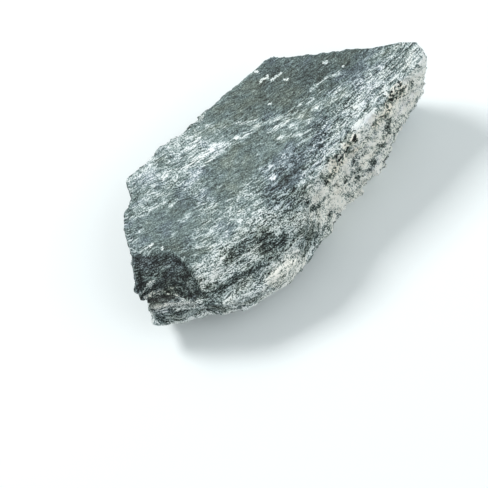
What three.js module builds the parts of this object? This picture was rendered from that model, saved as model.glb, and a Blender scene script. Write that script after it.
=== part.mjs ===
import * as THREE from "three";

// A hand-sized broken piece of phyllite: a thick wedge-ended slab with one broad cleavage face on top.
// Millimetres, +Z up, long axis along X, lying on its flattest face with the origin under its middle.

// The broad upper face climbs a little towards the pointed end at +X.
const UPPER_HEIGHT = 31.2; // above the origin
const UPPER_SLOPE = 0.05; // rise per mm of x
// A thin sheet of the next layer still covers the back of the upper face, as far as this line.
const SHEET_EDGE = [[-4.4, 31], [-4.4, 22.9], [4.4, 14.8], [16.4, 5.3], [26.4, 2.2], [44, 3.4]];
const SHEET_THICKNESS = 0.35;
// The front left quarter is broken away to a face that falls towards the front edge.
const FRONT_FACE = { x: 0.9, y: -19.9, slopeX: 0.238, slopeY: 0.617, blend: 3.2 };
// The left end is hollowed by a scar. It ramps down the direction DOWN, with one step in it, to a raised
// lip along the edge, and a short curved wall parts it from the front face.
const DOWN = [-0.736, -0.677];
const SCAR = { start: 30, height: 29.4, slope: 0.58 };
const SCAR_LIP = { at: 39.9, turn: -0.13, height: 3.2, width: 2.1 };
const SCAR_STEP = { start: 39, drop: 1.2, fromWall: 4, droopX: -52, droop: 0.5 };
const SCAR_WALL = { x: -41.2, y: -5, bend: 0.019, slope: 1.5 };

// How far chips lift the edge of the underside.
const CHIP_LIFT = 2.6;

// Three outlines, seen from above and running counter-clockwise in four runs with shared corners.
// The edge of the upper face.
const RIM = {
  front: [
    [-60.4, -4.6], [-56.6, -7.8], [-51.1, -12.8], [-46.4, -17.2], [-42, -21.4], [-37.2, -25.4],
    [-33, -27.6], [-28, -29], [-22, -30.2], [-15.5, -30], [-10, -28], [-4, -24], [0.9, -19.9],
    [15.6, -17.7], [31.4, -17.9], [48.4, -16.9], [59.5, -16.7],
  ],
  right: [
    [59.5, -16.7], [61.1, -15], [61.9, -12.9], [62.5, -10.9], [58.6, -6.6], [53.6, -2.9],
    [49.8, -0.6], [46.9, -0.6], [44.6, 0.4],
  ],
  back: [
    [44.6, 0.4], [43.5, 2.9], [43.4, 5.2], [42, 8], [37.3, 12], [32.4, 17.2], [26.4, 23.4],
    [24.9, 24.1], [18.8, 24.4], [6.8, 26], [1.2, 26.5], [-1.5, 26.6], [-4, 25.3], [-7, 26.8],
    [-13, 28], [-20, 30.3], [-23.7, 29.3], [-27.4, 29.6], [-34.5, 29.8],
  ],
  left: [
    [-34.5, 29.8], [-35.6, 28.9], [-38, 23.8], [-41.5, 21.7], [-44, 21.3], [-46.6, 17.4],
    [-48.6, 14.1], [-50.9, 9.6], [-54.9, 5], [-55.7, 3.4], [-59, 3], [-60.9, 0.1], [-58.5, -1.2],
    [-58.1, -3.1], [-60.4, -4.6],
  ],
};
// The widest line of the sides, part way down, with its height as a third number.
const WAIST = {
  front: [
    [-61.3, -3.6, 13], [-62.9, -6, 12.5], [-61, -8.3, 12], [-56, -12.6, 12], [-53, -14.2, 13],
    [-50.1, -15.9, 13], [-47.6, -16.6, 13.5], [-44, -21.6, 14], [-41.8, -22.9, 14],
    [-38.7, -24.5, 14], [-37, -26.2, 14], [-34.4, -26.9, 14.5], [-29, -28.7, 14.5], [-22, -30, 14.5],
    [-16.6, -30.1, 15], [-4.8, -27.9, 15], [7.3, -25.6, 14], [16.4, -25.6, 13], [27.1, -24.4, 15],
    [40.1, -20.7, 17], [54.3, -16.4, 16],
  ],
  right: [
    [54.3, -16.4, 16], [57.2, -13.5, 18], [58, -9, 19], [52.6, -3.6, 14], [47, 0.6, 12],
    [43.8, 4, 16],
  ],
  back: [
    [43.8, 4, 16], [40.4, 13, 21], [33, 20.4, 19], [27.2, 25.8, 13], [20, 27.4, 10], [8, 27.6, 16],
    [-3, 29.6, 21], [-13, 30.6, 17], [-24, 31.8, 12], [-35, 30.6, 17],
  ],
  left: [
    [-35, 30.6, 17], [-40, 24.6, 20], [-45.6, 22, 15], [-51.4, 12.3, 18], [-57.8, 4.6, 14],
    [-58.6, 0, 12], [-61.3, -3.6, 13],
  ],
};
// The edge of the underside.
const FOOT = {
  front: [
    [-55, -3.5], [-50, -9], [-40, -16.5], [-30, -22], [-16, -23], [8, -18.5], [30, -16.5], [46, -13],
  ],
  right: [[46, -13], [49.5, -9.5], [46, -4], [40, 3]],
  back: [[40, 3], [36, 11], [26, 20.5], [17, 23.5], [0, 25.5], [-20, 27.5], [-31, 27]],
  left: [[-31, 27], [-37, 22], [-46, 12], [-54, 1], [-55, -3.5]],
};

// Moves the finished piece so that its middle stands over the origin.
const CENTRING = [0.7, -0.8, 0];

// Cells of the surface: along the length, across the width and down the sides.
const ALONG = 56;
const ACROSS = 20;
const ROWS = 14;

const clamp01 = (t) => Math.min(1, Math.max(0, t));
const mix = (a, b, t) => a + (b - a) * t;
const ease = (from, to, t) => {
  const s = clamp01((t - from) / (to - from));
  return s * s * (3 - 2 * s);
};
const softMin = (a, b, blend) => {
  const h = clamp01(0.5 + (b - a) / (2 * blend));
  return mix(b, a, h) - blend * h * (1 - h);
};

// A fixed pseudo-random number from 0 to 1 for a point of the whole-number lattice.
function scatter(i, j, k) {
  const s = Math.sin(i * 12.9898 + j * 78.233 + k * 37.719) * 43758.5453;
  return s - Math.floor(s);
}

// Smooth noise from -1 to 1 that varies over a unit of length.
function noise(x, y, z) {
  const [i, j, k] = [Math.floor(x), Math.floor(y), Math.floor(z)];
  const [u, v, w] = [x - i, y - j, z - k].map((t) => t * t * (3 - 2 * t));
  const row = (dj, dk) => mix(scatter(i, j + dj, k + dk), scatter(i + 1, j + dj, k + dk), u);
  return 2 * mix(mix(row(0, 0), row(1, 0), v), mix(row(0, 1), row(1, 1), v), w) - 1;
}

// The point a given share of the way along a run of straight lines.
function along(run, share) {
  const lengths = run.slice(1).map(([x, y], n) => Math.hypot(x - run[n][0], y - run[n][1]));
  let left = share * lengths.reduce((sum, each) => sum + each, 0);
  let n = 0;
  while (n < lengths.length - 1 && left > lengths[n]) left -= lengths[n++];
  const t = Math.min(1, left / lengths[n]);
  return run[n].map((value, axis) => mix(value, run[n + 1][axis], t));
}

// A point inside an outline: u runs from the left end to the right, v from the front to the back.
function inside(outline, u, v) {
  const front = along(outline.front, u);
  const back = along(outline.back, 1 - u);
  const left = along(outline.left, 1 - v);
  const right = along(outline.right, v);
  return front.map((_, axis) => {
    const ends = mix(left[axis], right[axis], u);
    const sides = mix(front[axis], back[axis], v);
    const nearCorners = mix(outline.front[0][axis], outline.right[0][axis], u);
    const farCorners = mix(outline.left[0][axis], outline.back[0][axis], u);
    return ends + sides - mix(nearCorners, farCorners, v);
  });
}

// The layering of the stone: it dips gently to the back and curves round, and its layers part unevenly.
function layerAt(x, y, z) {
  return z + 0.2 * (y + 0.31 * x + 0.009 * x * y) + 0.9 * noise(x / 16, y / 16, z / 9);
}
function ledges(layer, thickness) {
  const n = Math.floor(layer / thickness);
  const t = ease(0.78, 1, layer / thickness - n);
  return 2 * mix(scatter(n, 3, 7), scatter(n + 1, 3, 7), t) - 1;
}

// Hollows about a unit across that meet in sharp ridges: 0 in the middle of one, near 1 on a ridge.
function hollows(x, y, z) {
  const [i, j, k] = [Math.floor(x), Math.floor(y), Math.floor(z)];
  let nearest = 9;
  for (let n = 0; n < 27; n++) {
    const [a, b, c] = [i - 1 + (n % 3), j - 1 + (Math.floor(n / 3) % 3), k - 1 + Math.floor(n / 9)];
    const dx = a + scatter(a, b, c) - x;
    const dy = b + scatter(b, c, a + 17) - y;
    const dz = c + scatter(c, a, b + 31) - z;
    nearest = Math.min(nearest, dx * dx + dy * dy + dz * dz);
  }
  return nearest;
}

// How far a point lies behind the edge of the thin sheet.
function behindSheetEdge(x, y) {
  const last = SHEET_EDGE.length - 1;
  let n = 1;
  while (n < last - 1 && x > SHEET_EDGE[n + 1][0]) n++;
  const [[x0, y0], [x1, y1]] = [SHEET_EDGE[n], SHEET_EDGE[n + 1]];
  const above = ((y - y0) * (x1 - x0) - (x - x0) * (y1 - y0)) / Math.hypot(x1 - x0, y1 - y0);
  return Math.min(above, x - SHEET_EDGE[0][0]) + 1.2 * noise(x / 5, y / 5, 6);
}

// How far a point lies to the right of the scar's wall, which curves in plan and wavers a little.
function pastWall(x, y) {
  return x - SCAR_WALL.x + SCAR_WALL.bend * (y - SCAR_WALL.y) ** 2 + 0.5 * noise(x / 5, y / 5, 2);
}

// Height of the scar: its ramp, the lip at its foot, the step part way down and the wall.
function scarHeight(x, y) {
  const down = DOWN[0] * x + DOWN[1] * y + 0.5 * noise(x / 6, y / 6, 9);
  const fromLip = down - SCAR_LIP.at - SCAR_LIP.turn * x;
  const lip = SCAR_LIP.height * Math.exp(-((fromLip / SCAR_LIP.width) ** 2));
  const wall = pastWall(x, y);
  const droop = SCAR_STEP.droop * Math.max(0, SCAR_STEP.droopX - x);
  const belowStep = Math.min(down - SCAR_STEP.start - droop, -SCAR_STEP.fromWall - wall);
  const ramp = SCAR.height - SCAR.slope * (down - SCAR.start);
  return ramp + lip - SCAR_STEP.drop * ease(-0.5, 0.5, belowStep) + SCAR_WALL.slope * Math.max(0, wall);
}

// Height of the upper surface: the cleavage face and its sheet, cut by the front face and the scar.
function upperHeight(x, y) {
  const sheet = SHEET_THICKNESS * ease(-1.3, 1.3, behindSheetEdge(x, y)) * ease(52, 36, x);
  const cleavage = UPPER_HEIGHT + UPPER_SLOPE * x + sheet;
  const f = FRONT_FACE;
  const front = UPPER_HEIGHT + f.slopeX * (x - f.x) + f.slopeY * (y - f.y);
  const scarBlend = mix(2.2, 0.6, ease(-4, -0.5, pastWall(x, y)));
  return softMin(softMin(cleavage, front, f.blend), scarHeight(x, y), scarBlend);
}

// Height of the underside: flat, with chips lifting its edge in places.
function underHeight(x, y, u, v) {
  const toEdge = Math.min(Math.min(u, 1 - u) * 110, Math.min(v, 1 - v) * 42);
  return CHIP_LIFT * (1 - ease(0, 9, toEdge)) * ease(0, 0.6, noise(x / 11, y / 11, 4));
}

// A point of the sides: depth runs from 0 at the rim through the waist at a half to 1 at the foot.
function sidePoint(u, v, depth) {
  const rim = inside(RIM, u, v);
  const waist = inside(WAIST, u, v);
  const foot = inside(FOOT, u, v);
  rim.push(upperHeight(...rim));
  foot.push(underHeight(...foot, u, v));
  const [from, to, t] = depth < 0.5 ? [rim, waist, 2 * depth] : [waist, foot, 2 * depth - 1];
  return from.map((value, axis) => mix(value, to[axis], t));
}

// How far the surface stands out from its smooth form. The upper face is nearly smooth; the sides, and the
// steeper slopes above them, break in ledges and chips. Along the front right the stone is coarse grained.
// lean is 0 where the smooth form lies level and 1 where it is upright.
function roughness(x, y, z, lean) {
  const side = Math.max(ease(0, 4, upperHeight(x, y) - z), 0.6 * ease(0.3, 0.8, lean));
  const grainy = ease(-10, -19, y) * ease(-8, 4, x);
  const steps = ledges(layerAt(x, y, z), 4.6);
  const chips = hollows(x / 12, y / 12, z / 7) - 0.35;
  const crystals = 0.3 - hollows(x / 6.5, y / 6.5, z / 6.5);
  const lumps = noise(x / 9, y / 9, z / 7) + 0.6 * noise(x / 4.5, y / 4.5, z / 4);
  const upper = 0.25 * steps + 0.2 * lumps + 0.4 * grainy * lumps;
  const broken = mix(1.5, 0.8, ease(8, -12, y)) * (steps + 2 * chips + 0.3 * lumps);
  const granular = 1.2 * chips + 1.3 * crystals + 0.7 * lumps;
  return mix(upper, mix(broken, granular, grainy), side);
}

// The closed surface: an upper grid, a ring of rows down the sides, and a lower grid.
function stone() {
  const points = [];
  const faces = [];
  const at = (i, j) => [i / ALONG, j / ACROSS];
  const addGrid = (point) => {
    const start = points.length;
    for (let i = 0; i <= ALONG; i++) {
      for (let j = 0; j <= ACROSS; j++) points.push(point(...at(i, j)));
    }
    return (i, j) => start + i * (ACROSS + 1) + j;
  };
  const upper = addGrid((u, v) => sidePoint(u, v, 0));
  const lower = addGrid((u, v) => sidePoint(u, v, 1));

  const ring = [];
  for (let i = 0; i < ALONG; i++) ring.push([i, 0]);
  for (let j = 0; j < ACROSS; j++) ring.push([ALONG, j]);
  for (let i = ALONG; i > 0; i--) ring.push([i, ACROSS]);
  for (let j = ACROSS; j > 0; j--) ring.push([0, j]);
  const rows = [ring.map(([i, j]) => upper(i, j))];
  for (let d = 1; d < ROWS; d++) {
    rows.push(ring.map(([i, j]) => points.push(sidePoint(...at(i, j), d / ROWS)) - 1));
  }
  rows.push(ring.map(([i, j]) => lower(i, j)));

  const quad = (a, b, c, d) => faces.push(a, b, c, a, c, d);
  for (let i = 0; i < ALONG; i++) {
    for (let j = 0; j < ACROSS; j++) {
      quad(upper(i, j), upper(i + 1, j), upper(i + 1, j + 1), upper(i, j + 1));
      quad(lower(i, j), lower(i, j + 1), lower(i + 1, j + 1), lower(i + 1, j));
    }
  }
  for (let d = 0; d < ROWS; d++) {
    ring.forEach((_, k) => {
      const next = (k + 1) % ring.length;
      quad(rows[d][k], rows[d + 1][k], rows[d + 1][next], rows[d][next]);
    });
  }

  const smooth = new THREE.BufferGeometry();
  smooth.setAttribute("position", new THREE.Float32BufferAttribute(points.flat(), 3));
  smooth.setIndex(faces);
  smooth.computeVertexNormals();
  const normals = smooth.getAttribute("normal");
  const rough = points.map(([x, y, z], n) => {
    const [outX, outY, outZ] = [normals.getX(n), normals.getY(n), normals.getZ(n)];
    const out = z > 0 ? roughness(x, y, z, Math.hypot(outX, outY)) : 0;
    return [x + out * outX, y + out * outY, Math.max(0, z + out * outZ)];
  });
  const geometry = new THREE.BufferGeometry();
  geometry.setAttribute("position", new THREE.Float32BufferAttribute(rough.flat(), 3));
  geometry.setIndex(faces);
  geometry.translate(...CENTRING);
  geometry.computeVertexNormals();
  return geometry;
}

const slate = new THREE.MeshStandardMaterial({ color: 0x78827f, roughness: 0.75, metalness: 0 });
const phyllite = new THREE.Mesh(stone(), slate);
phyllite.name = "phyllite";

const part = new THREE.Group();
part.name = "phyllite_piece";
part.add(phyllite);
export default part;
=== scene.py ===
# %% [markdown]
# # A broken piece of phyllite
# Phyllite is a fine-grained stone that was squeezed until its minerals lay flat, so it splits into
# layers with a silky sheen. This piece fits in a hand. Everything here is in metres, +Z is up, the long
# axis is X, and the stone lies on the plane z = 0.
#
# The frame is the plain solid that the stone's collision comes from. It is loaded first and stays in
# the scene, hidden once the finished stone is made.

# %% Load the frame
import math

import bpy
import numpy as np
from mathutils import Matrix, Vector


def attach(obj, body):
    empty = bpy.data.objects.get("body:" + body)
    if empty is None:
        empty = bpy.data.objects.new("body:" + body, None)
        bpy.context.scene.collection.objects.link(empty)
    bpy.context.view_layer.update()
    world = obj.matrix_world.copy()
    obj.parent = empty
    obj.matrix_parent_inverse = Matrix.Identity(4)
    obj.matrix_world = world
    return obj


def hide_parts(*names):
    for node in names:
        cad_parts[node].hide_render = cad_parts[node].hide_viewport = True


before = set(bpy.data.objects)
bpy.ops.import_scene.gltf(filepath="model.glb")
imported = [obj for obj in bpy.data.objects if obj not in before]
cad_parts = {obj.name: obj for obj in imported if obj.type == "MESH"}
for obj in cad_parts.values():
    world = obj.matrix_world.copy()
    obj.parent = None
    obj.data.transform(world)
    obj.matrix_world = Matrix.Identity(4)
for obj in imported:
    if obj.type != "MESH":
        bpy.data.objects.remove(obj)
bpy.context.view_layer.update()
MM = 0.001

# %% [markdown]
# ## The three outlines
# A split stone has an upper face, sides that broke across the layers, and an underside. Each is bounded by
# an outline that can be read like a map. One could sculpt the stone freely instead, but outlines keep its
# size and make every edge easy to move. Each outline runs counter-clockwise from above in four runs that
# share their corners, in millimetres.

# %% Outlines
RIM = {
    "front": [(-60.4, -4.6), (-56.6, -7.8), (-51.1, -12.8), (-46.4, -17.2), (-42, -21.4), (-37.2, -25.4),
              (-33, -27.6), (-28, -29), (-22, -30.2), (-15.5, -30), (-10, -28), (-4, -24), (0.9, -19.9),
              (15.6, -17.7), (31.4, -17.9), (48.4, -16.9), (59.5, -16.7)],
    "right": [(59.5, -16.7), (61.1, -15), (61.9, -12.9), (62.5, -10.9), (58.6, -6.6), (53.6, -2.9),
              (49.8, -0.6), (46.9, -0.6), (44.6, 0.4)],
    "back": [(44.6, 0.4), (43.5, 2.9), (43.4, 5.2), (42, 8), (37.3, 12), (32.4, 17.2), (26.4, 23.4),
             (24.9, 24.1), (18.8, 24.4), (6.8, 26), (1.2, 26.5), (-1.5, 26.6), (-4, 25.3), (-7, 26.8),
             (-13, 28), (-20, 30.3), (-23.7, 29.3), (-27.4, 29.6), (-34.5, 29.8)],
    "left": [(-34.5, 29.8), (-35.6, 28.9), (-38, 23.8), (-41.5, 21.7), (-44, 21.3), (-46.6, 17.4),
             (-48.6, 14.1), (-50.9, 9.6), (-54.9, 5), (-55.7, 3.4), (-59, 3), (-60.9, 0.1),
             (-58.5, -1.2), (-58.1, -3.1), (-60.4, -4.6)],
}
WAIST = {
    "front": [(-61.3, -3.6, 13), (-62.9, -6, 12.5), (-61, -8.3, 12), (-56, -12.6, 12), (-53, -14.2, 13),
              (-50.1, -15.9, 13), (-47.6, -16.6, 13.5), (-44, -21.6, 14), (-41.8, -22.9, 14),
              (-38.7, -24.5, 14), (-37, -26.2, 14), (-34.4, -26.9, 14.5), (-29, -28.7, 14.5),
              (-22, -30, 14.5), (-16.6, -30.1, 15), (-4.8, -27.9, 15), (7.3, -25.6, 14),
              (16.4, -25.6, 13), (27.1, -24.4, 15), (40.1, -20.7, 17), (54.3, -16.4, 16)],
    "right": [(54.3, -16.4, 16), (57.2, -13.5, 18), (58, -9, 19), (52.6, -3.6, 14), (47, 0.6, 12),
              (43.8, 4, 16)],
    "back": [(43.8, 4, 16), (40.4, 13, 21), (33, 20.4, 19), (27.2, 25.8, 13), (20, 27.4, 10),
             (8, 27.6, 16), (-3, 29.6, 21), (-13, 30.6, 17), (-24, 31.8, 12), (-35, 30.6, 17)],
    "left": [(-35, 30.6, 17), (-40, 24.6, 20), (-45.6, 22, 15), (-51.4, 12.3, 18), (-57.8, 4.6, 14),
             (-58.6, 0, 12), (-61.3, -3.6, 13)],
}
FOOT = {
    "front": [(-55, -3.5), (-50, -9), (-40, -16.5), (-30, -22), (-16, -23), (8, -18.5), (30, -16.5),
              (46, -13)],
    "right": [(46, -13), (49.5, -9.5), (46, -4), (40, 3)],
    "back": [(40, 3), (36, 11), (26, 20.5), (17, 23.5), (0, 25.5), (-20, 27.5), (-31, 27)],
    "left": [(-31, 27), (-37, 22), (-46, 12), (-54, 1), (-55, -3.5)],
}
CENTRING = (0.7, -0.8)
print("outline points:", {name: sum(len(run) for run in line.values())
                          for name, line in (("rim", RIM), ("waist", WAIST), ("foot", FOOT))})

# %% Walk along an outline and fill it
def along(run, share):
    """The point a share (0 to 1) of the way along a run of straight lines."""
    points = np.array(run, float)
    steps = np.hypot(*np.diff(points[:, :2], axis=0).T)
    reach = np.append(0, np.cumsum(steps)) / steps.sum()
    return np.stack([np.interp(share, reach, column) for column in points.T], axis=-1)


def inside(outline, u, v):
    """Coons patch: the blend of the two long runs plus the blend of the two short ones, less the blend
    of the four corners."""
    front, back = along(outline["front"], u), along(outline["back"], 1 - u)
    left, right = along(outline["left"], 1 - v), along(outline["right"], v)
    corners = [np.array(outline[run][0], float) for run in ("front", "right", "back", "left")]
    u, v = u[..., None], v[..., None]
    near, far = mix(corners[0], corners[1], u), mix(corners[3], corners[2], u)
    return mix(left, right, u) + mix(front, back, v) - mix(near, far, v)


def mix(a, b, t):
    """a where t is 0 and b where t is 1."""
    return a + (b - a) * t


def ease(start, end, t):
    """0 before start, 1 after end, and a smooth s-curve between."""
    s = np.clip((t - start) / (end - start), 0, 1)
    return s * s * (3 - 2 * s)


middle = inside(RIM, np.array([0.5]), np.array([0.5]))[0]
print("middle of the upper face:", middle.round(1))

# %% [markdown]
# ## Noise, ledges and hollows
# A broken surface is irregular at every size, but not shapeless. Three patterns cover it: smooth noise for
# swells, ledges where one layer stops before the next, and hollows that meet in sharp ridges, as chips do.
# Blender has such patterns as textures. Here they are written out, because they shape the mesh itself.

# %% Noise, ledges and hollows
def scatter(i, j, k):
    """A fixed pseudo-random number from 0 to 1 for each whole-number point."""
    s = np.sin(i * 12.9898 + j * 78.233 + k * 37.719) * 43758.5453
    return s - np.floor(s)


def noise(x, y, z):
    """Smooth noise from -1 to 1: eased blends of the scatter at the eight corners of each unit cube."""
    x, y, z = np.broadcast_arrays(x, y, z)
    i, j, k = np.floor(x), np.floor(y), np.floor(z)
    u, v, w = (t * t * (3 - 2 * t) for t in (x - i, y - j, z - k))
    total = 0
    for di, dj, dk in np.ndindex(2, 2, 2):
        weight = (u if di else 1 - u) * (v if dj else 1 - v) * (w if dk else 1 - w)
        total = total + weight * scatter(i + di, j + dj, k + dk)
    return 2 * total - 1


def hollows(x, y, z):
    """Squared distance to the nearest of one scattered point per unit cube: bowls that meet in ridges."""
    return cells(x, y, z)[0]


def cells(x, y, z):
    """The same bowls, and for each point the height of its cell's own tilted plane, about -0.5 to 0.5."""
    i, j, k = np.floor(x), np.floor(y), np.floor(z)
    nearest, plane = np.full(np.shape(x), 9.0), np.zeros(np.shape(x))
    for di, dj, dk in np.ndindex(3, 3, 3):
        a, b, c = i + di - 1, j + dj - 1, k + dk - 1
        dx, dy, dz = a + scatter(a, b, c) - x, b + scatter(b, c, a + 17) - y, c + scatter(c, a, b + 31) - z
        away = dx * dx + dy * dy + dz * dz
        tilted = (2 * scatter(a, c, b) - 1) * dx + (2 * scatter(b, a, c) - 1) * dy + 0.5 * scatter(c, b, a)
        plane = np.where(away < nearest, tilted, plane)
        nearest = np.minimum(nearest, away)
    return nearest, plane


def layer_at(x, y, z):
    """Which layer a point is in, in mm: the layers dip gently to the back and curve round."""
    return z + 0.2 * (y + 0.31 * x + 0.009 * x * y) + 0.9 * noise(x / 16, y / 16, z / 9)


def ledges(layer, thickness, seed=3):
    """Each layer stands out by its own amount from -1 to 1, with a short slope to the next."""
    n = np.floor(layer / thickness)
    t = ease(0.78, 1, layer / thickness - n)
    return 2 * mix(scatter(n, seed, 7), scatter(n + 1, seed, 7), t) - 1


print("noise at one point:", round(float(noise(0.3, 0.6, 0.9)), 3))

# %% [markdown]
# ## The upper face
# The broad upper face is a cleavage plane, with a thin sheet of the next layer still on its back half. Its
# front left quarter is broken away to a falling face, and its left end is hollowed by a scar with a raised
# lip. As a height over the plan, each is one formula, and the lowest of them wins, blended a little.

# %% Height of the upper face
UPPER_HEIGHT, UPPER_SLOPE = 31.2, 0.05
SHEET_EDGE = [(-4.4, 31), (-4.4, 22.9), (4.4, 14.8), (16.4, 5.3), (26.4, 2.2), (44, 3.4)]
SHEET_THICKNESS, SHEET_SLOPE = 0.35, 0.5  # how thick the sheet is, and half the width of its edge
FRONT_FACE = {"x": 0.9, "y": -19.9, "slope_x": 0.238, "slope_y": 0.617, "blend": 3.2}
DOWN = (-0.736, -0.677)  # the direction in plan in which the scar falls
SCAR = {"start": 30, "height": 29.4, "slope": 0.58, "lip_at": 39.9, "lip_turn": -0.13, "lip_height": 3.2,
        "lip_width": 2.1}
SCAR_STEP = {"start": 39, "drop": 1.2, "from_wall": 4, "droop_x": -52, "droop": 0.5}
SCAR_WALL = {"x": -41.2, "y": -5, "bend": 0.019, "slope": 1.5}


def soft_min(a, b, blend):
    """The smaller of two heights, rounded off where they meet."""
    h = np.clip(0.5 + (b - a) / (2 * blend), 0, 1)
    return mix(b, a, h) - blend * h * (1 - h)


def behind_sheet_edge(x, y):
    """How far a point lies behind the line of the sheet's edge, negative in front of it."""
    edge = np.array(SHEET_EDGE[1:])
    n = np.clip(np.searchsorted(edge[1:-1, 0], x), 0, len(edge) - 2)
    (x0, y0), (x1, y1) = edge[n].T, edge[n + 1].T
    above = ((y - y0.T) * (x1 - x0).T - (x - x0.T) * (y1 - y0).T) / np.hypot(x1 - x0, y1 - y0).T
    return np.minimum(above, x - SHEET_EDGE[0][0]) + 1.2 * noise(x / 5, y / 5, 6)


def past_wall(x, y):
    """How far a point lies to the right of the scar's wall, which curves in plan and wavers a little."""
    return x - SCAR_WALL["x"] + SCAR_WALL["bend"] * (y - SCAR_WALL["y"]) ** 2 + 0.5 * noise(x / 5, y / 5, 2)


def scar_height(x, y):
    """A ramp down the scar with one step in it, plus the lip at its foot and the wall that bounds it."""
    down = DOWN[0] * x + DOWN[1] * y + 0.5 * noise(x / 6, y / 6, 9)
    off_lip = (down - SCAR["lip_at"] - SCAR["lip_turn"] * x) / SCAR["lip_width"]
    lip = SCAR["lip_height"] * np.exp(-(off_lip ** 2))
    wall = past_wall(x, y)
    droop = SCAR_STEP["droop"] * np.maximum(0, SCAR_STEP["droop_x"] - x)
    below_step = np.minimum(down - SCAR_STEP["start"] - droop, -SCAR_STEP["from_wall"] - wall)
    ramp = SCAR["height"] - SCAR["slope"] * (down - SCAR["start"])
    drop = SCAR_STEP["drop"] * ease(-0.5, 0.5, below_step)
    return ramp + lip - drop + SCAR_WALL["slope"] * np.maximum(0, wall)


def faces_height(x, y):
    """Height of the cleavage face and its sheet, cut by the front face."""
    sheet = SHEET_THICKNESS * ease(-SHEET_SLOPE, SHEET_SLOPE, behind_sheet_edge(x, y)) * ease(52, 36, x)
    f = FRONT_FACE
    front = UPPER_HEIGHT + f["slope_x"] * (x - f["x"]) + f["slope_y"] * (y - f["y"])
    return soft_min(UPPER_HEIGHT + UPPER_SLOPE * x + sheet, front, f["blend"])


def upper_height(x, y):
    """The faces cut by the scar: sharply along its wall, gently along its upper edge."""
    blend = mix(2.2, 0.6, ease(-4, -0.5, past_wall(x, y)))
    return soft_min(faces_height(x, y), scar_height(x, y), blend)


print("height at the tip and in the scar:",
      [round(float(upper_height(*np.array([[x], [y]], float))[0]), 1) for x, y in ((58, -12), (-52, -6))])

# %% [markdown]
# ## One closed surface
# The surface is a box that has been wrapped round the stone: an upper grid, rows down the sides from the
# rim through the waist to the foot, and a lower grid. A box has no poles, so no corner of the mesh is
# pinched, and the grids share their edge vertices, so the surface is closed.

# %% The smooth form
ALONG, ACROSS, ROWS = 260, 100, 56
CHIP_LIFT = 2.6


def under_height(x, y, u, v):
    """Zero over the middle of the underside, lifted where chips are gone from its edge."""
    to_edge = np.minimum(np.minimum(u, 1 - u) * 110, np.minimum(v, 1 - v) * 42)
    return CHIP_LIFT * (1 - ease(0, 9, to_edge)) * ease(0, 0.6, noise(x / 11, y / 11, 4))


def side_point(u, v, depth):
    """Straight from the rim (depth 0) to the waist (a half) and on to the foot (1)."""
    rim, waist, foot = (inside(outline, u, v) for outline in (RIM, WAIST, FOOT))
    rim = np.dstack([rim, upper_height(*np.moveaxis(rim, -1, 0))])
    foot = np.dstack([foot, under_height(foot[..., 0], foot[..., 1], u, v)])
    above = mix(rim, waist, 2 * depth)
    below = mix(waist, foot, 2 * depth - 1)
    return above if depth < 0.5 else below


u, v = np.meshgrid(np.linspace(0, 1, ALONG + 1), np.linspace(0, 1, ACROSS + 1), indexing="ij")
GRID = (ALONG + 1) * (ACROSS + 1)
upper_ids = np.arange(GRID).reshape(u.shape)
lower_ids = upper_ids + GRID
ring_i = np.concatenate([np.arange(ALONG), np.full(ACROSS, ALONG), np.arange(ALONG, 0, -1), np.zeros(ACROSS)])
ring_j = np.concatenate([np.zeros(ALONG), np.arange(ACROSS), np.full(ALONG, ACROSS),
                         np.arange(ACROSS, 0, -1)])
ring = ring_i.astype(int), ring_j.astype(int)
row_ids = 2 * GRID + np.arange((ROWS - 1) * ring[0].size).reshape(ROWS - 1, -1)
rows = np.vstack([upper_ids[ring], row_ids, lower_ids[ring]])
sides = [side_point(u[ring][None], v[ring][None], d / ROWS)[0] for d in range(1, ROWS)]
smooth = np.vstack([side_point(u, v, 0).reshape(-1, 3), side_point(u, v, 1).reshape(-1, 3), *sides])
print("vertices:", len(smooth))

# %% Faces and normals
def quads(ids):
    """The four corners of every cell of a grid of vertex numbers."""
    return np.stack([ids[:-1, :-1], ids[1:, :-1], ids[1:, 1:], ids[:-1, 1:]], axis=-1).reshape(-1, 4)


closed_rows = np.hstack([rows, rows[:, :1]])
faces = np.vstack([quads(upper_ids), quads(lower_ids)[:, ::-1], quads(closed_rows)])


def normals_of(points):
    """Each vertex's outward direction: the sum of the cross products of its cells' diagonals."""
    corner = points[faces]
    area = np.cross(corner[:, 2] - corner[:, 0], corner[:, 3] - corner[:, 1])
    total = np.stack([np.bincount(faces.ravel(), np.repeat(area[:, axis], 4), len(points))
                      for axis in range(3)], axis=-1)
    return total / np.linalg.norm(total, axis=1, keepdims=True)


def worn(points, rounds):
    """Each round moves every vertex half way to the mean of its cells' middles, which rounds sharp edges."""
    count = np.bincount(faces.ravel(), minlength=len(points))[:, None]
    for _ in range(rounds):
        middle = points[faces].mean(axis=1)
        total = np.stack([np.bincount(faces.ravel(), np.repeat(middle[:, axis], 4), len(points))
                          for axis in range(3)], axis=-1)
        points = mix(points, total / count, 0.5)
    return points


print("faces:", len(faces), "triangles:", 2 * len(faces))

# %% [markdown]
# ## Which way the grain runs
# The minerals of phyllite lie in streaks, and those follow the folded layers. Noise that is stretched along
# fixed axes would look like brushed metal, so each vertex stores its own place in the folded stone: how far
# along the streaks, how far across them, and how far up through the layers. Every pattern reads that.

# %% Grain coordinates
FOLD_CENTRE = (-59, -14)


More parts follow.
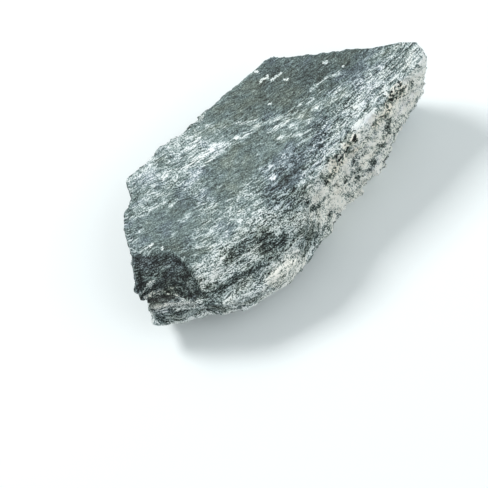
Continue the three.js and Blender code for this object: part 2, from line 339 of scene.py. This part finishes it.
def grain_at(x, y, z):
    """Along, across and layer, in mm. Across is a gently curving sum of x and y; in the scar it is the
    distance from the middle of a fold; layer is the depth below the upper face."""
    from_lip = DOWN[0] * x + DOWN[1] * y - SCAR["lip_at"] - SCAR["lip_turn"] * x
    in_scar = ease(-0.3, 0.5, faces_height(x, y) - scar_height(x, y)) * ease(0.5, -1.5, from_lip)
    across = (0.83 * y + 0.28 * x + 0.0039 * x * y - 0.00087 * x * x - 0.0018 * y * y
              + 3.3e-5 * x * x * y - 5.8e-5 * x * y * y - 9e-6 * x ** 3 + 1.2e-4 * y ** 3)
    along = x - 0.28 * y
    away = np.hypot(x - FOLD_CENTRE[0], y - FOLD_CENTRE[1])
    turned = 18 * np.arctan2(y - FOLD_CENTRE[1], x - FOLD_CENTRE[0])
    in_fold = in_scar * ease(15.5, 13, away)
    layer = z - upper_height(x, y)
    across = mix(across, 9 - away, in_fold) * mix(1, 0.55, ease(0, -8, layer))
    return mix(along, -turned, in_fold), across, layer


print("grain at the middle:", [float(g) for g in grain_at(np.array(0.0), np.array(0.0), np.array(31.0))])

# %% [markdown]
# ## Breaking the surface
# The upper face is nearly smooth, the sides break in ledges and chips, and along the front right the stone
# is coarse grained. The larger forms are the solid's own. Finer ones are added in the same way, down to
# splinters under a millimetre, so that edges catch the light as broken stone does.

# %% Coarse and fine relief
def zones(x, y, z, lean):
    """How far a point belongs to the sides (0 to 1), by its depth below the rim and by how far its normal
    leans over, and how coarse grained the stone is there."""
    side = np.maximum(ease(0, 4, upper_height(x, y) - z), 0.6 * ease(0.3, 0.8, lean))
    return side, ease(-10, -19, y) * ease(-8, 4, x)


def coarse_relief(x, y, z, side, grainy):
    """Ledges, chips and lumps of 5 to 12 mm, as the solid has them."""
    steps = ledges(layer_at(x, y, z), 4.6)
    chips = hollows(x / 12, y / 12, z / 7) - 0.35
    crystals = 0.3 - hollows(x / 6.5, y / 6.5, z / 6.5)
    lumps = noise(x / 9, y / 9, z / 7) + 0.6 * noise(x / 4.5, y / 4.5, z / 4)
    upper = 0.25 * steps + 0.2 * lumps + 0.4 * grainy * lumps
    broken = mix(1.5, 0.8, ease(8, -12, y)) * (steps + 2 * chips + 0.3 * lumps)
    granular = 1.2 * chips + 1.3 * crystals + 0.7 * lumps
    return mix(upper, mix(broken, granular, grainy), side)


def fine_relief(x, y, z, side, grainy):
    """Thin ledges, small chips, ridges along the grain and crystals, all of 0.8 to 4 mm."""
    layer = layer_at(x, y, z)
    steps = 0.6 * ledges(layer, 1.5, 5) + 0.4 * ledges(layer + 0.4 * noise(x / 3, y / 3, z / 3), 0.7, 9)
    rough = noise(x / 1.6, y / 1.6, z / 1.1) + 0.5 * noise(x / 0.8, y / 0.8, z / 0.7)
    along, across, up = grain_at(x, y, z)
    ridges = noise(along / 7, across / 1.6, up / 1.4) + 0.7 * noise(along / 3, across / 0.9, up)
    pits = np.maximum(0, noise(x / 2.6, y / 2.6, z / 2 + 40) - 0.35)
    big, small = cells(x / 3.6, y / 3.6, z / 3), cells(x / 1.8, y / 1.8, z / 1.6)
    scar = ease(-0.5, 1, faces_height(x, y) - scar_height(x, y))
    uneven = np.maximum(ease(-8, -16, y + 0.1 * x), scar)
    folded = 0.25 * scar * ledges(across + 0.5 * ridges, 2.1, 11)
    upper = (mix(0.08, 0.24, uneven) * steps + mix(0.08, 0.17, uneven) * ridges
             + mix(0.05, 0.1, uneven) * rough - 0.35 * pits + 0.12 * small[1] + folded
             + grainy * (0.5 * big[1] + 0.4 * small[1]))
    broken = 0.45 * steps + 0.35 * (big[0] - 0.35) + 0.6 * big[1] + 0.35 * small[1] + 0.1 * rough
    granular = 1.3 * big[1] + 0.8 * small[1] - 0.3 * small[0] + 0.14 * rough
    return mix(upper, mix(broken, granular, grainy), side)


base = worn(smooth, 1)
outward = normals_of(base)
side, grainy = zones(*base.T, np.hypot(outward[:, 0], outward[:, 1]))
coarse = base + coarse_relief(*base.T, side, grainy)[:, None] * outward
points = coarse + fine_relief(*base.T, side, grainy)[:, None] * normals_of(coarse)
FLAT_BELOW = 0.02  # mm: what starts lower than this is the flat underside and stays flat
flat_foot = base[:, 2] < FLAT_BELOW
points[flat_foot] = base[flat_foot]
points[:, 2] = np.maximum(points[:, 2], 0)
points[flat_foot, 2] = 0
points[:, :2] += CENTRING
print("finished box in mm:", points.min(0).round(1), points.max(0).round(1))

# %% Put the surface into a mesh
mesh = bpy.data.meshes.new("phyllite_surface")
mesh.from_pydata(points * MM, [], faces)
mesh.update()
mesh.polygons.foreach_set("use_smooth", np.ones(len(faces), bool))
stone = bpy.data.objects.new("phyllite_stone", mesh)
bpy.context.collection.objects.link(stone)
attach(stone, "root")
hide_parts("phyllite")
print("mesh valid:", not mesh.validate())

# %% Grain of every vertex
px, py, pz = base.T
along_mm, across_mm, layer_mm = grain_at(px, py, pz)
print("grain runs across", across_mm.min().round(), "to", across_mm.max().round(), "mm")

# %% [markdown]
# ## Where the stone is pale, dark, green or coarse
# Bands of quartz and mica come and go, so the stone is not one even pattern. Noise alone would spread them
# evenly, so the few bands that give this stone its character are laid down as strokes of a ragged brush over
# the plan. A stroke is an area, not a line of paint: it says where the pale streaks of the finish gather or
# thin out, and where the stone turns olive, bluish or cream.
# A few strokes also stand for light and shade: shaded creases, and a painted highlight along the lip of the
# scar.

# %% A ragged brush
ragged = noise(along_mm / 5, across_mm / 1.1, layer_mm / 3) + 0.6 * noise(along_mm / 2.2, across_mm / 0.5, 7)


def stroke(line, half_width, soft, rag):
    """1 nearer to the line than half_width, falling to 0 over soft, after the distance is made ragged."""
    nearest = np.full(len(px), 1e3)
    for (x0, y0), (x1, y1) in zip(line, line[1:] or line):
        dx, dy = x1 - x0, y1 - y0
        t = np.clip(((px - x0) * dx + (py - y0) * dy) / max(dx * dx + dy * dy, 1e-9), 0, 1)
        nearest = np.minimum(nearest, np.hypot(px - x0 - t * dx, py - y0 - t * dy))
    return ease(half_width + soft, half_width, nearest + rag * ragged)


# Each stroke: the line, its half width, its soft edge, its raggedness and its strength, lengths in mm.
SLIGHT, FAINT, CLEAR, STRONG = 0.06, 0.1, 0.15, 0.3
# Bands with more quartz, and along the lip of the scar a painted highlight as well.
LIGHTER = [
    ([(-35.8, 22.9), (-21.7, 20), (-5.4, 17)], 5, 6, 1.5, SLIGHT),
    ([(-30, 27), (-22, 27)], 2, 4, 1.5, FAINT), ([(-15, 27), (-5, 27)], 2.5, 4, 1.5, CLEAR),
    ([(-3.7, 22.3), (0, 18.1)], 1.2, 3, 1, FAINT),
    ([(-18, 16.9), (-13.1, 16.4), (-6.1, 14.7), (1, 11.2)], 1.2, 2, 1, CLEAR),
    ([(-13.5, 20.1), (-7.9, 19.9), (-3, 20.5)], 1.5, 2, 1, FAINT),
    ([(-35, 15.5), (-29, 11), (-24, 9), (-18, 9.5)], 1.8, 3, 1.5, SLIGHT),
    ([(-30.5, 1.5), (-26.5, -4), (-25, -9)], 2.2, 3, 1.5, CLEAR),
    ([(-22.4, 2), (-18.8, -3), (-11.5, -10)], 2, 3, 1.5, CLEAR),
    ([(-11, -2), (-6, -6)], 2, 3, 1.5, CLEAR),
    ([(-17.9, -9.2), (-11.1, -15), (-8, -20)], 2.2, 3, 1.5, CLEAR),
    ([(3, -2.5), (12, -1), (18, -3), (20, -7)], 2, 3, 1.5, FAINT),
    ([(-43, -12), (-34.4, -13), (-30, -11)], 2, 2.5, 1.5, STRONG),
    ([(-38, -13), (-33, -16.8), (-22, -19.5)], 1.2, 1.6, 1, STRONG),
    ([(-39.5, -23), (-33.3, -24.6), (-25, -26.6), (-16, -28.6)], 1.4, 2, 0.8, STRONG),
    # Along the crest of the scar's lip: pale stone, and partly a painted highlight where the crest faces the
    # light.
    ([(-58, -7), (-53, -10.4), (-49, -14)], 0.8, 1.4, 0.4, STRONG),
    ([(-57, -10.5), (-52, -14.1)], 0.8, 2, 1, FAINT), ([(25, -15.7), (37, -15.6)], 2.5, 3, 1.5, STRONG),
    ([(44, -14.7), (53, -14.9)], 2, 3, 1, CLEAR), ([(30, -3), (41, -6.5), (52, -9)], 2.5, 3, 1.5, FAINT),
    ([(47, -11.5), (53, -11), (60, -12)], 2, 3, 1, CLEAR),
    ([(56, -8), (60.5, -11.5), (56, -16)], 2, 2.5, 1, STRONG),
    ([(-28, -29), (-20, -30.5)], 1.8, 1.5, 0.5, STRONG),
    ([(14, 1.5), (17, -1), (22, -7.5)], 1.5, 3, 1.5, CLEAR),
]
# Thin pale veins, the curved lines of the folded layers in the scar, and a painted highlight along the crest
# of its lip.
VEINS_AND_LIP_HIGHLIGHT = [
    ([(-18, 16.9), (-13.1, 16.4), (-6.1, 14.7), (1, 11.2), (7.5, 9)], 0.5, 0.9, 0.6, 0.9),
    ([(-17, 14), (-9, 12.6), (-2, 11)], 0.3, 0.7, 0.6, 0.7),
    ([(-26, 21), (-17, 20.5), (-9, 21.5)], 0.4, 0.8, 0.6, 0.7),
    ([(3.2, 15.3), (9.8, 9.4), (15.9, 4.4), (19.5, 2.7), (22.7, 3.5)], 0.4, 0.9, 0.8, 0.8),
    ([(8.8, 5.4), (14.4, 2.9), (16.6, -1.2)], 0.3, 0.8, 0.7, 0.9),
    ([(15.7, -1.2), (22.2, 1.7), (26.3, 2)], 0.3, 0.8, 0.7, 0.7),
    ([(28, 4.5), (32.5, 3.4), (38.2, 1.8)], 0.4, 0.8, 0.7, 1.0),
    ([(24, -1), (31, -2.3), (37, -3)], 0.3, 0.8, 0.7, 0.8),
    ([(8, 2), (12, -1), (15, -4)], 0.2, 0.8, 0.7, 0.8),
    # Along the crest of the scar's lip: a pale vein, and partly a painted highlight where the crest faces the
    # light.
    ([(-59.6, -5.7), (-55.4, -8.8), (-50.4, -13.4), (-46.7, -16.7)], 0.7, 0.8, 0.3, 0.8),
    ([(-55, -6.2), (-51.5, -7.6), (-48.9, -10.5)], 0.2, 0.5, 0.2, 0.5),
    ([(-59.5, 1.8), (-56.5, 0.8)], 0.4, 0.6, 0.3, 0.8),
    ([(-56.9, -2.4), (-53.5, -4.2), (-50.9, -7.6), (-49.1, -12), (-47.9, -15.9)], 0.3, 0.6, 0.4, 0.7),
    ([(-54.5, -2.8), (-50.6, -4.8), (-47.8, -8), (-46.8, -11.5)], 0.2, 0.5, 0.4, 0.6),
    ([(-37, 4), (-30, 5), (-24, 4)], 0.3, 0.8, 0.8, 0.6),
]
# Bands with more dark mica, and shaded creases.
DARKER = [
    ([(-44.7, 2.8), (-40.9, -1.4), (-37.1, -5.7)], 1.6, 2.5, 1.2, FAINT),
    ([(-42.7, -17.6), (-38.1, -19.5), (-32.1, -20.5), (-27, -21.3), (-22.4, -22.5), (-17.9, -23.8),
      (-13.3, -24.5)], 0.5, 1.4, 1.3, CLEAR),
    ([(-28, 8.5), (-24.5, 4)], 1.3, 2.5, 1.2, FAINT),
    ([(-29.5, -14.6), (-24.3, -15.2), (-20.6, -16.3), (-15, -17.8)], 0.5, 1.5, 1.6, CLEAR),
    ([(-57.1, -8.8), (-48.9, -15.7), (-43.2, -20)], 0.3, 0.7, 0.3, CLEAR),
    ([(-42.4, -7), (-43.6, -12), (-44.6, -16.5)], 0.7, 1.6, 0.6, FAINT),
    ([(-57, 1.5), (-57, -5), (-53, -7)], 0.9, 1.4, 0.5, FAINT),
    ([(-55.6, 3.1), (-53.9, 0.1), (-51.1, -2), (-48.4, -4.4), (-46.8, -7.5), (-46.6, -10.4),
      (-46.7, -14.3)], 0.6, 1.5, 0.5, CLEAR),
    ([(-6, -12.5), (-1, -14.6), (-4, -18)], 2, 3, 1.2, FAINT), ([(17, 5), (22, 2.5)], 1, 2, 1, SLIGHT),
    ([(-3, -8), (6, -9.5), (14, -9), (20, -7.5)], 1.5, 3, 1.2, CLEAR),
    ([(21, -9), (26, -12)], 1.5, 2.5, 1.2, CLEAR), ([(20, 14), (36, 8), (43, 3)], 5, 4, 1.5, SLIGHT),
]
# Where the pattern is quieter than elsewhere.
CALM = [
    ([(2, 21), (20, 14), (38, 6)], 8, 5, 1.5, 0.18), ([(2, 22), (12, 18)], 3, 5, 1.5, 0.2),
    ([(-12, 5), (2, 5), (14, 1)], 5, 4, 2, 0.42), ([(-38, 9.5), (-31, 5.5)], 4, 3, 1.5, 0.5),
    ([(22, -2), (30, 0)], 2.5, 3, 1.5, 0.1),
]
# Dark pitted grains along the coarse edge.
BELT = [
    ([(47.5, -16.8), (42.6, -17.5), (40.4, -18.1), (38, -18.7), (34.2, -19.7)], 0.6, 1.5, 1, 1),
    ([(25.9, -17.7), (22.1, -18.3), (17.3, -19), (13.3, -19.6), (10.4, -19.9)], 0.6, 1.4, 1, 1),
]
# Where the ground leans to olive green, and to blue.
OLIVE = [
    ([(-14, 5), (3, 8), (18, -4)], 3, 5, 1.5, 0.5), ([(6, 20), (18, 13), (31, -2)], 5, 5, 1.5, 0.5),
]
BLUER = [
    ([(-52, 8), (-46, 17), (-38, 24)], 4, 6, 2, 0.2), ([(-6, -12), (8, -8), (18, -8)], 3, 5, 2, 0.5),
    ([(30, 4), (40, -2.7)], 2, 3, 1, 0.4), ([(-14, 6), (-24, 12)], 2, 4, 2, 0.35),
    ([(4, 10), (16, 2), (30, -4), (42, -7)], 4, 5, 2, 0.4),
]
# Stained quartz at the front edge, and a rusty touch on the lip of the scar.
CREAM = [([(-24, -28.6), (-19, -29.5), (-14, -28.8)], 1.4, 2, 1.2, 1)]
BROWN = [([(-57, -4), (-51.5, -6.5)], 1.5, 3, 0.6, 0.6)]
# Small white marks on the upper face: the line and its half width.
FLECKS = [
    ([(18.6, 19.5), (20, 19.7), (21.2, 18.7), (21.8, 19.3)], 0.22),
    ([(21.7, 17.1), (22.8, 16.7), (23.5, 16.9)], 0.3),
    ([(23.9, 16.9), (24.4, 16.4), (25.5, 16.3)], 0.22), ([(24.3, 13.9), (24.9, 13.1), (25.7, 13.1)], 0.22),
    ([(20, 23.4), (20.5, 22.9)], 0.2), ([(15.2, 11.8), (16, 11.4)], 0.2), ([(37.4, 7.5), (38, 7.1)], 0.35),
    ([(-1.2, -7.8)], 0.8), ([(40.7, 2)], 0.4), ([(-55.1, 0.5), (-52.4, -0.4)], 0.3),
    ([(-58.8, -0.5), (-54.9, -2)], 0.3), ([(-45.2, 7.2), (-44.2, 6.9)], 0.3), ([(-43, 3.4)], 0.5),
    ([(35, -17.2), (33, -17.5)], 0.8), ([(31.4, -16.6), (28.7, -16.3)], 0.9),
    ([(15.5, -18.6), (13.8, -19)], 0.8), ([(43.2, -15.8)], 0.6),
]


def painted(strokes):
    """The sum of the strokes, each times its strength."""
    return sum(stroke(*how) * strength for *how, strength in strokes)


flecks = np.max([stroke(line, radius, 0.4, 0.15) for line, radius in FLECKS], axis=0)
veins = np.max([stroke(*how) * strength for *how, strength in VEINS_AND_LIP_HIGHLIGHT], axis=0)
print("vertices on a fleck:", int((flecks > 0.5).sum()), "on a vein:", int((veins > 0.5).sum()))

# %% Parts of the stone
# Each part is 1 where a vertex belongs to it and 0 where it doesn't.
in_scar = ease(-0.5, 1.3, faces_height(px, py) - scar_height(px, py) + 0.3 * ragged) * (1 - side)
behind_sheet = ease(-1.5, 1.5, behind_sheet_edge(px, py) + 1.2 * ragged) * (1 - side)
ridge_edge = np.interp(px, [4, 9, 16, 22, 57], [-15, -12.7, -8.3, -6, -6.3])
ridge = ease(1.5, -2, py - ridge_edge + 1.5 * ragged) * (1 - side) * ease(2, 8, px)
front_side = side * grainy
quartz_end = 0.8 * ease(36, 60, px - 0.8 * (py + 12) + 16 * noise(px / 5, py / 5, pz / 4)) * side
near_top = ease(-9, -2, layer_mm)
lighter, darker = painted(LIGHTER) * near_top, painted(DARKER) * near_top
front_face = ease(-12, -17, py + 0.1 * px + 1.5 * ragged) * ease(8, -2, px) * (1 - in_scar)
# The waist shows as one paler layer round the front left.
depth = np.concatenate([np.zeros(GRID), np.ones(GRID), np.repeat(np.arange(1, ROWS) / ROWS, ring[0].size)])
waist_line = ease(0.06, 0.02, np.abs(depth - 0.5 + 0.01 * ragged)) * ease(0, -12, px + 2 * py) * (1 - grainy)
print("share of the vertices:", {name: round(float(part.mean()), 2) for name, part in (
    ("scar", in_scar), ("sheet", behind_sheet), ("ridge", ridge), ("front face", front_face))})

# %% Store the patterns on the vertices
EDGE_HEIGHT = 0.12  # mm that a raised edge stands above the smoothed surface where it counts in full
# Where the surface stands above its smoothed form it is made lighter in tone, and where it sinks below it,
# darker.
edges = np.einsum("ij,ij->i", points - worn(points, 5), normals_of(points))
edges_and_hollows = np.clip(edges / EDGE_HEIGHT, -1, 1)
belt = painted(BELT) * ease(-7, -3, layer_mm)
# The scar is made darker in tone: partly its own darker stone, partly painted shade in its hollow.
tone = (0.3 * lighter - darker - 0.26 * in_scar - 0.04 * behind_sheet
        - 0.06 * side * (1 - grainy) + 0.12 * quartz_end + 0.07 * edges_and_hollows + 0.15 * painted(CREAM)
        + 0.3 * waist_line)
calm = painted(CALM) * near_top
banding = np.clip(front_face + 0.5 * ridge + 0.7 * side + 0.4 * painted(BLUER) - 0.5 * calm,
                  -0.2, 1.2)
cover = np.clip(lighter - calm - 0.4 * darker - 0.01 + 0.06 * front_face
                - 0.08 * behind_sheet - 0.12 * in_scar, -0.5, 0.3)
hue = painted(BLUER) - painted(OLIVE) - 0.4 * front_face + 0.35 * in_scar
warm = 0.28 * painted(CREAM) + painted(BROWN) + 0.5 * belt + 0.45 * front_side + 0.35 * in_scar


def store(name, kind, values):
    """Keeps one number or vector per vertex on the mesh under that name."""
    layer = mesh.attributes.new(name, kind, "POINT")
    field = "vector" if kind == "FLOAT_VECTOR" else "value"
    layer.data.foreach_set(field, np.ascontiguousarray(values, np.float32).ravel())


store("grain", "FLOAT_VECTOR", np.stack([along_mm, across_mm, layer_mm], axis=1))
for name, values in (("tone", tone), ("cover", cover), ("banding", banding), ("coarse", ridge * 0.85),
                     ("blocky", np.clip(front_side + quartz_end, 0, 1)), ("hue", hue), ("flecks", flecks),
                     ("veins", veins), ("belt", belt), ("grit", in_scar), ("warm", warm)):
    store(name, "FLOAT", values)
print("stored:", [a.name for a in mesh.attributes])

# %% [markdown]
# ## The stone's finish
# Phyllite is a dark slate-green ground with pale streaks of quartz and silvery mica. One number, the tone,
# runs from black to white, and a colour ramp turns it into colour. The tone is built up as the stone is:
# a calm ground of soft patches, fine streaks and grains; over it a veil of pale streaks that gather where
# the stored cover is high and thin out where it is low; and thin wisps along the creases of one more noise.
# The streaks are read at curled coordinates, because straight ones look brushed. The ridge, the quartz side
# and the pitted belt have tones of their own made from cells, as they are coarse crystals. Noise textures
# take less work than painting and hold at any distance. Node maths is written as Python expressions by a
# small class that adds a Math node for each operator.

# %% Node maths as expressions
class Value:
    """A node's number output that can be used in Python arithmetic."""

    def __init__(self, paint, socket):
        self.paint, self.socket = paint, socket

    def math(self, operation, first, second=0.0):
        """Adds one Math node."""
        return self.paint.node("ShaderNodeMath", {"operation": operation}, {0: first, 1: second})["Value"]

    def __add__(self, other):
        return self.math("ADD", self, other)

    def __sub__(self, other):
        return self.math("SUBTRACT", self, other)

    def __rsub__(self, other):
        return self.math("SUBTRACT", other, self)

    def __mul__(self, other):
        return self.math("MULTIPLY", self, other)

    __radd__, __rmul__ = __add__, __mul__


class Paint:
    """A material, and the one method that adds any node to it."""

    def __init__(self, name):
        self.material = bpy.data.materials.new(name)
        self.material.use_nodes = True
        self.tree = self.material.node_tree
        self.tree.nodes.clear()

    def node(self, kind, settings=None, sockets=None):
        """Adds a node, applies its settings, then fills its sockets with values or links."""
        made = self.tree.nodes.new(kind)
        for name, setting in (settings or {}).items():
            if name == "stops":
                elements = made.color_ramp.elements
                while len(elements) < len(setting):
                    elements.new(1)
                for element, (place, colour) in zip(elements, setting):
                    element.position, element.color = place, (*colour, 1)
            else:
                setattr(made, name, setting)
        for name, value in (sockets or {}).items():
            value = value.socket if isinstance(value, Value) else value
            if isinstance(value, bpy.types.NodeSocket):
                self.tree.links.new(value, made.inputs[name])
            else:
                made.inputs[name].default_value = value
        return {out.name: Value(self, out) for out in made.outputs if out.enabled}

    def stored(self, name):
        """A number or vector kept on the vertices."""
        return self.node("ShaderNodeAttribute", {"attribute_name": name})

    def scaled(self, vector, by):
        """The vector times another, part by part."""
        return self.node("ShaderNodeVectorMath", {"operation": "MULTIPLY"}, {0: vector, 1: by})["Vector"]

    def noise(self, vector, detail=2.0, roughness=0.6):
        """Noise in a unit of the vector, centred on 0."""
        made = self.node("ShaderNodeTexNoise", {}, {"Vector": vector, "Scale": 1.0, "Detail": detail,
                                                    "Roughness": roughness})
        return made["Fac"] - 0.5

    def bent(self, vector, cells, by, onto, calmer=1.0):
        """onto + by * coloured noise, whose cells have these sizes in mm of the vector."""
        made = self.node("ShaderNodeTexNoise", {}, {"Vector": self.scaled(vector, [1 / c for c in cells]),
                                                    "Scale": 1.0, "Detail": 2.0})["Color"]
        made = self.scaled(made, calmer) if isinstance(calmer, Value) else made
        return self.node("ShaderNodeVectorMath", {"operation": "MULTIPLY_ADD"},
                         {0: made, 1: by, 2: onto})["Vector"]

    def blended(self, factor, a, b):
        """Number a where the factor is 0 and b where it is 1."""
        return self.node("ShaderNodeMix", {}, {"Factor": factor, 2: a, 3: b})["Result"]

    def multiplied(self, factor, a, b):
        """Colour a where the factor is 0 and a times b where it is 1."""
        return self.node("ShaderNodeMix", {"data_type": "RGBA", "blend_type": "MULTIPLY"},
                         {"Factor": factor, 6: a, 7: b})["Result"]

    def ranged(self, value, start, end, low, high):
        """Straight from low, where the value is start, to high, where it is end."""
        return self.node("ShaderNodeMapRange", {}, {"Value": value, "From Min": start, "From Max": end,
                                                    "To Min": low, "To Max": high})["Result"]


paint = Paint("phyllite")
print("material:", paint.material.name)

# %% Folded grain, bands and streaks
grain = paint.stored("grain")["Vector"]
tone_in, cover_in, banding_in, grit_in = (
    paint.stored(name)["Fac"] for name in ("tone", "cover", "banding", "grit"))
fold = paint.bent(grain, (9, 5, 5), (3.0, 3.2, 1.4), grain)
curl = paint.bent(grain, (6, 3.5, 3.5), (3.0, 3.4, 1.8), fold, 1 - 0.55 * banding_in)
patches = paint.noise(paint.scaled(fold, (1 / 12, 1 / 5, 1 / 4)), 3.0, 0.6)
bands = paint.noise(paint.scaled(fold, (1 / 14, 1 / 1.7, 1 / 1.2)), 2.0, 0.5)
weave = paint.noise(paint.scaled(curl, (1 / 6, 1 / 1.9, 1 / 1.6)), 5.0, 0.72)
streaks = paint.noise(paint.scaled(curl, (1 / 6, 1 / 0.9, 1 / 0.8)), 3.0, 0.65)
fine = paint.noise(paint.scaled(fold, (1 / 2.6, 1 / 0.4, 1 / 0.36)), 2.0, 0.6)
place = paint.node("ShaderNodeTexCoord")["Object"]
grains = paint.noise(paint.scaled(place, (2300, 2300, 2300)), 1.0, 0.5)
crease = paint.noise(paint.scaled(curl, (1 / 6, 1 / 2.2, 1 / 2.2)), 3.0, 0.6)
near_crease = 1 - crease.math("ABSOLUTE", crease) * 20
near_crease = near_crease.math("MAXIMUM", near_crease, 0.0)


def amount(value, start, end):
    """0 where the value is under start, 1 over end, and a smooth s-curve between."""
    return paint.node("ShaderNodeMapRange", {"interpolation_type": "SMOOTHSTEP"},
                      {"Value": value, "From Min": start, "From Max": end})["Result"]


spread = cover_in + 1.2 * weave + 0.35 * streaks + (0.4 + 0.65 * banding_in) * bands + 0.5 * patches
veil = amount(spread, -0.12, 0.2)
wisps = near_crease * amount(spread + 0.8 * fine, -0.08, 0.14)
print("nodes for the grain:", len(paint.tree.nodes))

# %% Coarse crystals
def crystals(vector):
    """Each crystal's own grey, from 0 to 1."""
    shades = paint.node("ShaderNodeTexVoronoi", {}, {"Vector": vector, "Scale": 1.0})["Color"]
    return paint.node("ShaderNodeSeparateColor", {}, {0: shades})["Red"]


coarse_tone = (0.58 + 0.5 * (crystals(paint.scaled(fold, (1 / 2.2, 1 / 0.9, 1 / 0.9))) - 0.5)
               + 0.75 * streaks + 1.5 * fine + 1.8 * grains + 0.9 * bands + 0.4 * patches + 0.55 * weave)
lumps = paint.noise(paint.scaled(place, (260, 260, 300)), 4.0, 0.65)
blocky_tone = (0.88 + 0.45 * (crystals(paint.scaled(place, (520, 520, 600))) - 0.5) + 2.8 * lumps
               + 1.3 * patches + 2.4 * grains + 1.0 * fine)
pitted_tone = (0.5 + 1.3 * (crystals(paint.scaled(place, (1100, 1100, 1100))) - 0.5) + 1.6 * grains
               + 2 * lumps)
print("nodes with the crystals:", len(paint.tree.nodes))

# %% Tone to colour
ground = (0.462 - 0.065 * banding_in + 0.22 * patches
          + (0.16 + 0.42 * banding_in + 0.5 * grit_in) * streaks
          + (0.9 + 0.7 * banding_in + 0.5 * grit_in) * fine
          + (0.9 + 1.0 * banding_in + 0.7 * grit_in) * grains)
veil_tone = 0.11 + 0.12 * banding_in + 0.8 * weave + 0.42 * streaks + 0.25 * fine + 0.3 * grains
layered_tone = ground + veil * veil_tone + wisps * 0.17
layered_tone = layered_tone.math("MINIMUM", layered_tone, 0.88)
stone_tone = paint.blended(paint.stored("coarse")["Fac"], layered_tone, coarse_tone)
stone_tone = paint.blended(paint.stored("blocky")["Fac"], stone_tone, blocky_tone)
stone_tone = paint.blended(paint.stored("belt")["Fac"], stone_tone, pitted_tone)
broken = paint.ranged(streaks + fine, -0.12, 0.1, 0.05, 0.42)
fleck = amount(paint.stored("flecks")["Fac"] + 0.8 * fine + 0.8 * grains, 0.3, 0.8)
whole = stone_tone + tone_in + fleck * 0.5 + paint.stored("veins")["Fac"] * broken
ramp = paint.node("ShaderNodeValToRGB", {"stops": [
    (0.0, (0.005, 0.0065, 0.0065)), (0.25, (0.037, 0.049, 0.048)), (0.45, (0.109, 0.151, 0.149)),
    (0.6, (0.206, 0.275, 0.272)), (0.78, (0.45, 0.53, 0.53)), (1.0, (0.84, 0.88, 0.875))]},
    {"Fac": whole})["Color"]
hue_in = (paint.noise(paint.scaled(fold, (1 / 8, 1 / 4, 1 / 4)), 3.0, 0.6) * 1.5
          + paint.stored("hue")["Fac"] * 0.45)
tint = paint.node("ShaderNodeValToRGB", {"stops": [
    (0.15, (1.07, 1.0, 0.88)), (0.42, (1.0, 1.0, 0.97)), (0.55, (1.0, 1.01, 1.0)), (0.8, (1.0, 0.985, 1.1))]},
    {"Fac": hue_in + 0.5})["Color"]
tinted = paint.multiplied(paint.ranged(whole, 0.55, 0.85, 1.0, 0.3), ramp, tint)
tinted = paint.multiplied(paint.stored("warm")["Fac"], tinted, (1.12, 1.0, 0.86, 1))
bump = paint.node("ShaderNodeBump", {}, {"Height": stone_tone, "Strength": 0.6, "Distance": 0.0005})["Normal"]
rough = 0.75 - 0.35 * stone_tone
shader = paint.node("ShaderNodeBsdfPrincipled", {}, {"Base Color": tinted, "Roughness": rough,
                                                     "Specular IOR Level": 0.3,
                                                     "Normal": bump})["BSDF"]
paint.node("ShaderNodeOutputMaterial", {}, {"Surface": shader})
mesh.materials.append(paint.material)
print("nodes in the finish:", len(paint.tree.nodes))

# %% [markdown]
# ## Floor, light and camera
# The stone lies on a plain pale floor. A large soft lamp stands behind it, a weaker one in front fills the
# shadows, and the camera looks down on it from the front, turned so that its length runs from the lower
# left to the upper right.

# %% Floor
floor_mesh = bpy.data.meshes.new("floor")
floor_mesh.from_pydata([(-3, -3, 0), (3, -3, 0), (3, 3, 0), (-3, 3, 0)], [], [(0, 1, 2, 3)])
floor = bpy.data.objects.new("floor", floor_mesh)
bpy.context.collection.objects.link(floor)
paper = bpy.data.materials.new("paper")
paper.use_nodes = True
paper.node_tree.nodes["Principled BSDF"].inputs["Base Color"].default_value = (0.86, 0.9, 0.9, 1)
paper.node_tree.nodes["Principled BSDF"].inputs["Roughness"].default_value = 0.9
floor_mesh.materials.append(paper)
print("floor width in m:", floor.dimensions.x)

# %% Lights
def lamp(name, place, size, power, colour):
    """A square area light at a place in metres that faces the stone."""
    data = bpy.data.lights.new(name, "AREA")
    data.size, data.energy, data.color = size, power, colour
    made = bpy.data.objects.new(name, data)
    bpy.context.collection.objects.link(made)
    made.location = place
    made.rotation_euler = (-Vector(place)).to_track_quat("-Z", "Y").to_euler()


lamp("key", (-0.05, 0.72, 0.85), 0.35, 9, (1, 1, 1))
lamp("fill", (0.6, -0.6, 0.7), 0.9, 4.8, (0.95, 0.98, 1))
world = bpy.data.worlds.new("studio")
world.use_nodes = True
world.node_tree.nodes["Background"].inputs["Color"].default_value = (0.93, 0.98, 1, 1)
world.node_tree.nodes["Background"].inputs["Strength"].default_value = 0.5
bpy.context.scene.world = world
bpy.context.scene.view_settings.view_transform = "Standard"
print("lamps:", [made.name for made in bpy.data.lights])

# %% Camera
camera_data = bpy.data.cameras.new("camera")
camera_data.lens, camera_data.sensor_width = 109.8, 36
LOOKS_DOWN, TURNED = 67, -45  # degrees
camera = bpy.data.objects.new("camera", camera_data)
bpy.context.collection.objects.link(camera)
camera.matrix_world = (Matrix.Translation((-0.0222, -0.2044, 0.471))
                       @ Matrix.Rotation(math.radians(90 - LOOKS_DOWN), 4, "X")
                       @ Matrix.Rotation(math.radians(TURNED), 4, "Z"))
bpy.context.scene.camera = camera
print("camera looks down at", LOOKS_DOWN, "degrees")
